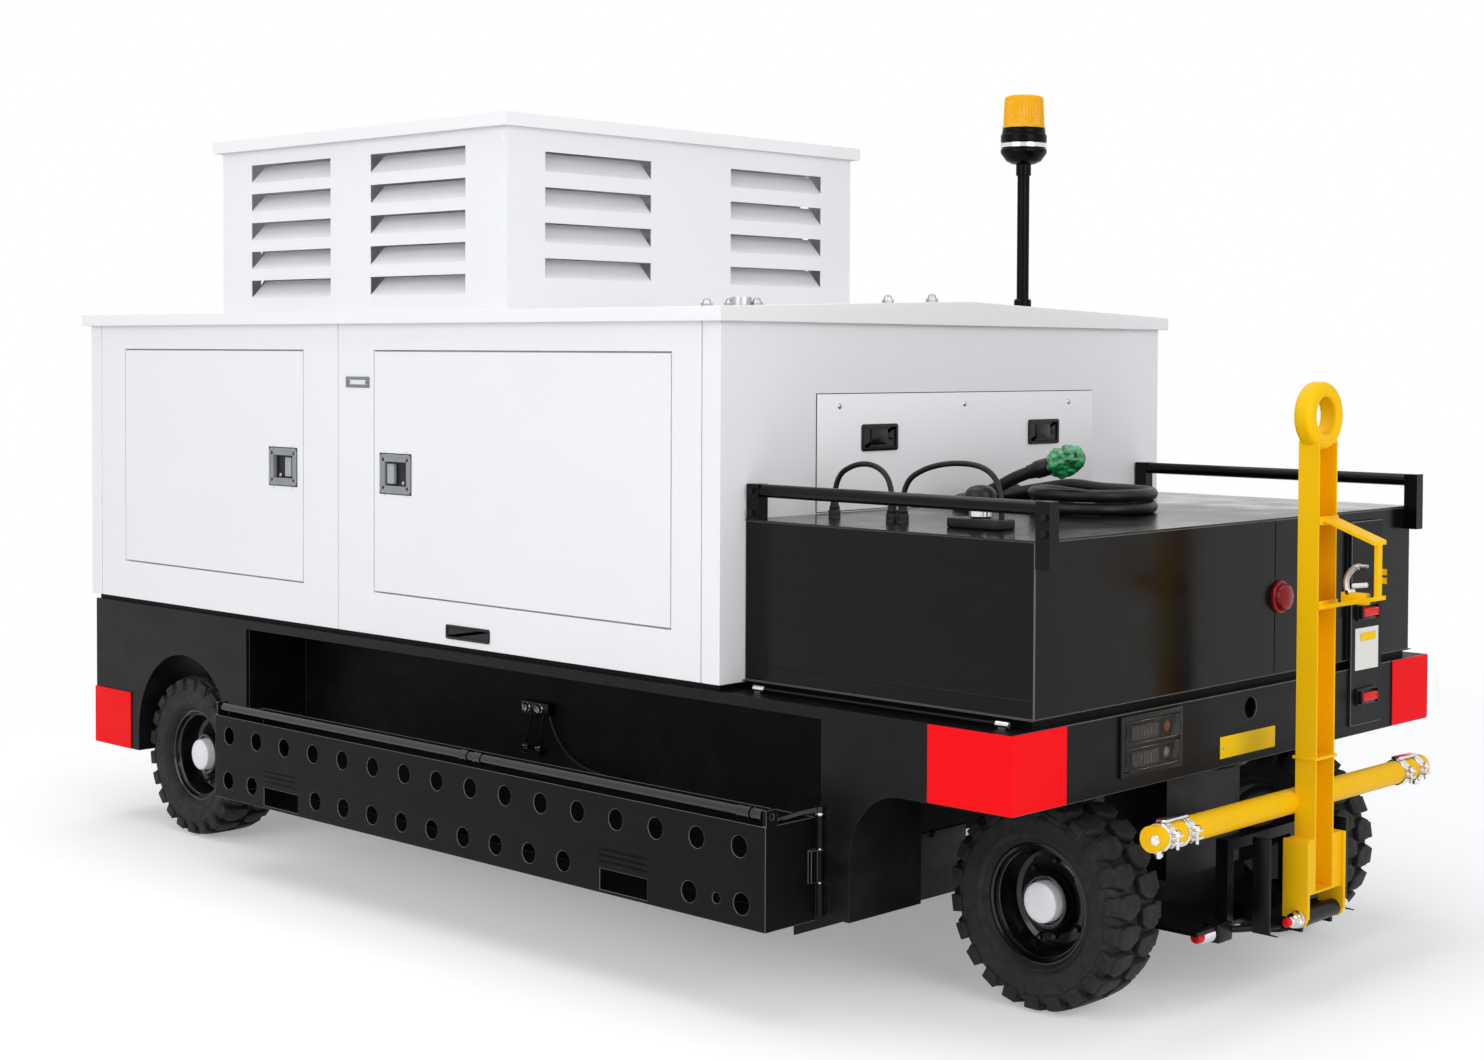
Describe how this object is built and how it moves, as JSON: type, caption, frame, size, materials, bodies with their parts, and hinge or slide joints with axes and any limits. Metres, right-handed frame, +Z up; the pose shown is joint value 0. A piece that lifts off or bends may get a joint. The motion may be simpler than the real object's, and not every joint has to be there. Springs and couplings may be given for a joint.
{
  "type": "ground power unit",
  "caption": "Towable airport ground power unit with a white canopy, louvred roof outlet, hinged side doors, swing-out cable trays, steered front axle and upright tow bar.",
  "frame": {"origin": "On the ground, in the middle of the unit's length and width.", "axes": "+X forward towards the tow bar, +Y left, +Z up."},
  "size_m": [5, 2.564, 2.6866],
  "materials": {
    "white_paint": "gloss",
    "black_paint": "satin",
    "red_paint": "gloss",
    "yellow_paint": "gloss",
    "grey_plastic": "satin",
    "black_plastic": "satin",
    "amber_lens": "gloss",
    "clear_lens": "gloss",
    "red_plastic": "gloss",
    "sign_yellow": "satin",
    "plate_white": "satin",
    "tyre": "matte",
    "chrome": "polished",
    "cast": "matte",
    "zinc": "satin",
    "cable_black": "satin",
    "wrap_green": "gloss"
  },
  "bodies": {
    "chassis": {"chassis_frame": "black_paint", "side_plates": "black_paint", "end_plates": "black_paint", "belly_box": "black_paint", "cable_box": "black_paint", "cable_box_top": "black_paint", "side_rails": "black_paint", "control_strip": "black_paint", "rear_axle": "black_paint", "corner_guards": "red_paint", "side_walls": "white_paint", "end_walls": "white_paint", "roof": "white_paint", "louvre_box": "white_paint", "louvre_lid": "white_paint", "access_panel": "white_paint", "side_vents": "grey_plastic", "black_fittings": "black_plastic", "lamp_housing": "black_plastic", "engine_set": "cast", "roof_fittings": "zinc", "beacon_stand": "black_paint", "beacon_lens": "amber_lens", "lamp_lenses": "clear_lens", "sign_plate": "sign_yellow", "red_controls": "red_plastic", "data_plate": "plate_white", "deck_glands": "black_plastic", "rear_lead": "cable_black", "front_lead": "cable_black", "cable_in": "cable_black", "cable_out": "cable_black", "cable_coil": "cable_black", "cable_plug": "wrap_green"},
    "door_rear_right_body": {"door_rear_right": "white_paint", "handle_rear_right": "grey_plastic"},
    "door_rear_left_body": {"door_rear_left": "white_paint", "handle_rear_left": "grey_plastic"},
    "door_front_right_body": {"door_front_right": "white_paint", "handle_front_right": "grey_plastic"},
    "door_front_left_body": {"door_front_left": "white_paint", "handle_front_left": "grey_plastic"},
    "tray_right_body": {"tray_right": "black_paint"},
    "roller_right_body": {"roller_right": "black_paint"},
    "tray_left_body": {"tray_left": "black_paint"},
    "roller_left_body": {"roller_left": "black_paint"},
    "steer": {"front_axle": "black_paint"},
    "drawbar": {"tow_bar": "yellow_paint", "cross_arm": "yellow_paint", "tow_grip": "yellow_paint", "hook_latch": "zinc", "tow_hardware": "chrome"},
    "wheel_front_right": {"tyre_front_right": "tyre", "rim_front_right": "black_paint"},
    "wheel_front_left": {"tyre_front_left": "tyre", "rim_front_left": "black_paint"},
    "wheel_rear_right": {"tyre_rear_right": "tyre", "rim_rear_right": "black_paint"},
    "wheel_rear_left": {"tyre_rear_left": "tyre", "rim_rear_left": "black_paint"}
  },
  "joints": [
    {"name": "door_rear_right_hinge", "type": "hinge", "parent": "chassis", "child": "door_rear_right_body", "pos_m": [-2.221, -1.075, 1.4], "axis": [0, 0, -1], "range_deg": [0, 110]},
    {"name": "door_rear_left_hinge", "type": "hinge", "parent": "chassis", "child": "door_rear_left_body", "pos_m": [-2.221, 1.075, 1.4], "axis": [0, 0, 1], "range_deg": [0, 110]},
    {"name": "door_front_right_hinge", "type": "hinge", "parent": "chassis", "child": "door_front_right_body", "pos_m": [0.809, -1.075, 1.4], "axis": [0, 0, 1], "range_deg": [0, 110]},
    {"name": "door_front_left_hinge", "type": "hinge", "parent": "chassis", "child": "door_front_left_body", "pos_m": [0.809, 1.075, 1.4], "axis": [0, 0, -1], "range_deg": [0, 110]},
    {"name": "tray_right_hinge", "type": "hinge", "parent": "chassis", "child": "tray_right_body", "pos_m": [1.419, -1.085, 0.4], "axis": [0, 0, 1], "range_deg": [0, 90]},
    {"name": "tray_left_hinge", "type": "hinge", "parent": "chassis", "child": "tray_left_body", "pos_m": [1.419, 1.085, 0.4], "axis": [0, 0, -1], "range_deg": [0, 90]},
    {"name": "roller_right_spin", "type": "hinge", "parent": "tray_right_body", "child": "roller_right_body", "pos_m": [0.065, -1.258, 0.566], "axis": [1, 0, 0], "continuous": true},
    {"name": "roller_left_spin", "type": "hinge", "parent": "tray_left_body", "child": "roller_left_body", "pos_m": [0.065, 1.258, 0.566], "axis": [1, 0, 0], "continuous": true},
    {"name": "steering", "type": "hinge", "parent": "chassis", "child": "steer", "pos_m": [1.825, 0, 0.6], "axis": [0, 0, 1], "range_deg": [-40, 40]},
    {"name": "tow_bar_hinge", "type": "hinge", "parent": "steer", "child": "drawbar", "pos_m": [2.315, 0, 0.237], "axis": [0, 1, 0], "range_deg": [0, 90]},
    {"name": "wheel_front_right_spin", "type": "hinge", "parent": "steer", "child": "wheel_front_right", "pos_m": [1.825, -0.57, 0.295], "axis": [0, 1, 0], "continuous": true},
    {"name": "wheel_front_left_spin", "type": "hinge", "parent": "steer", "child": "wheel_front_left", "pos_m": [1.825, 0.57, 0.295], "axis": [0, 1, 0], "continuous": true},
    {"name": "wheel_rear_right_spin", "type": "hinge", "parent": "chassis", "child": "wheel_rear_right", "pos_m": [-1.822, -0.938, 0.295], "axis": [0, 1, 0], "continuous": true},
    {"name": "wheel_rear_left_spin", "type": "hinge", "parent": "chassis", "child": "wheel_rear_left", "pos_m": [-1.822, 0.938, 0.295], "axis": [0, 1, 0], "continuous": true}
  ]
}
